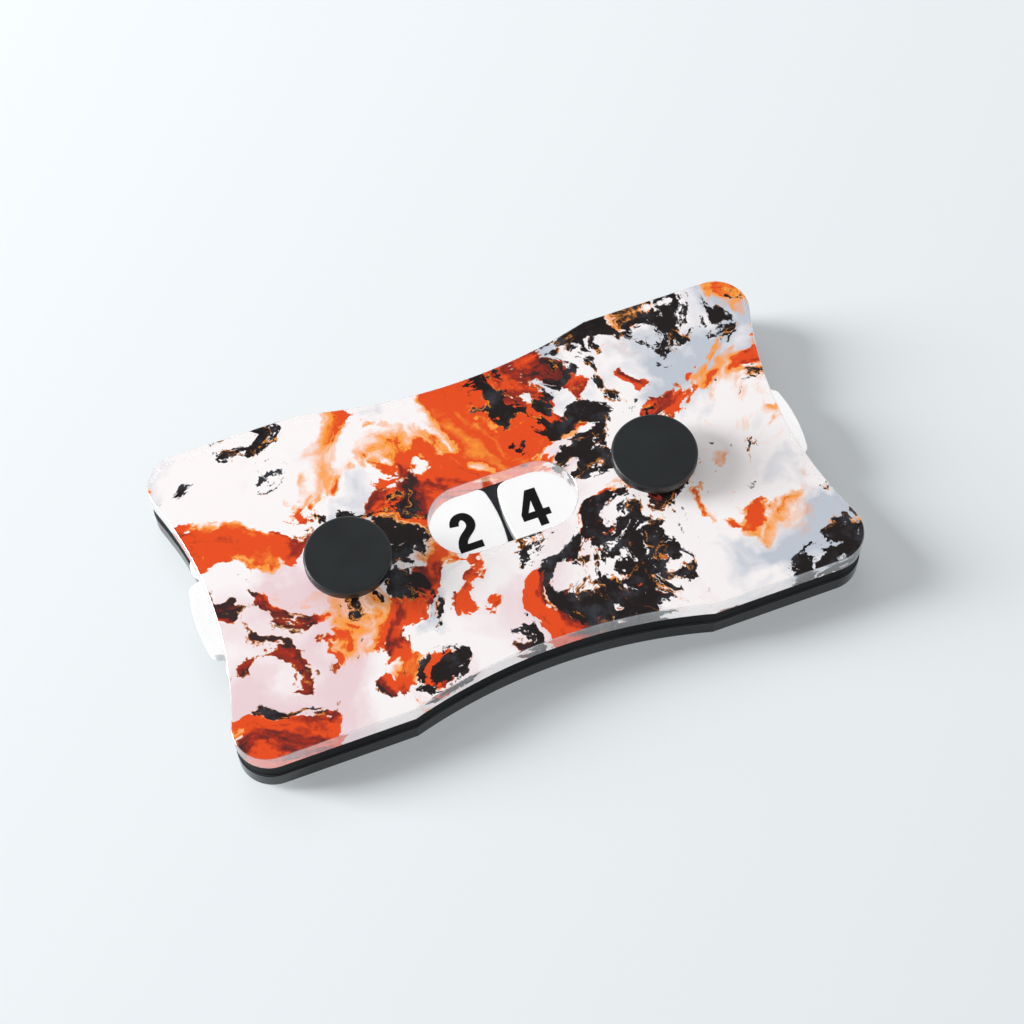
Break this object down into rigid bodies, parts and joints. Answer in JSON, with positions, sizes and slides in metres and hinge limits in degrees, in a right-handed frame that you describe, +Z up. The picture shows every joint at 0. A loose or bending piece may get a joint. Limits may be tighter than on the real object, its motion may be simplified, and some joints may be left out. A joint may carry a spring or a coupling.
{
  "type": "life counter",
  "caption": "Flat hand-size game counter: white lobed number dials turn between stacked acrylic sheets and show their digits through a rounded window.",
  "frame": {"origin": "under the middle of the part, at the level of the lower rivet heads it stands on", "axes": "+X along the length from the left dial to the right dial, +Y away from the reader, +Z up through the printed face"},
  "size_m": [0.0948, 0.0512, 0.012],
  "materials": {
    "clear_acrylic": "clear, polished, printed on its underside",
    "black_acrylic": "laser-cut black sheet",
    "white_acrylic": "opaque white sheet",
    "dark_nylon": "matte moulded",
    "natural_nylon": "thin stamped sheet"
  },
  "bodies": {
    "case": {"face_plate": "clear_acrylic", "rear_spacer": "black_acrylic", "front_spacer": "black_acrylic", "back_plate": "black_acrylic", "left_lower_washer": "natural_nylon", "left_upper_washer": "natural_nylon", "right_lower_washer": "natural_nylon", "right_upper_washer": "natural_nylon", "left_rivet_cap": "dark_nylon", "left_rivet_plug": "dark_nylon", "right_rivet_cap": "dark_nylon", "right_rivet_plug": "dark_nylon"},
    "left_number": {"left_dial": "white_acrylic"},
    "right_number": {"right_dial": "white_acrylic"}
  },
  "joints": [
    {"name": "left_dial_turn", "type": "hinge", "parent": "case", "child": "left_number", "pos_m": [-0.02365, 0, 0.00588], "axis": [0, 0, 1], "continuous": true},
    {"name": "right_dial_turn", "type": "hinge", "parent": "case", "child": "right_number", "pos_m": [0.02365, 0, 0.00588], "axis": [0, 0, 1], "continuous": true}
  ]
}
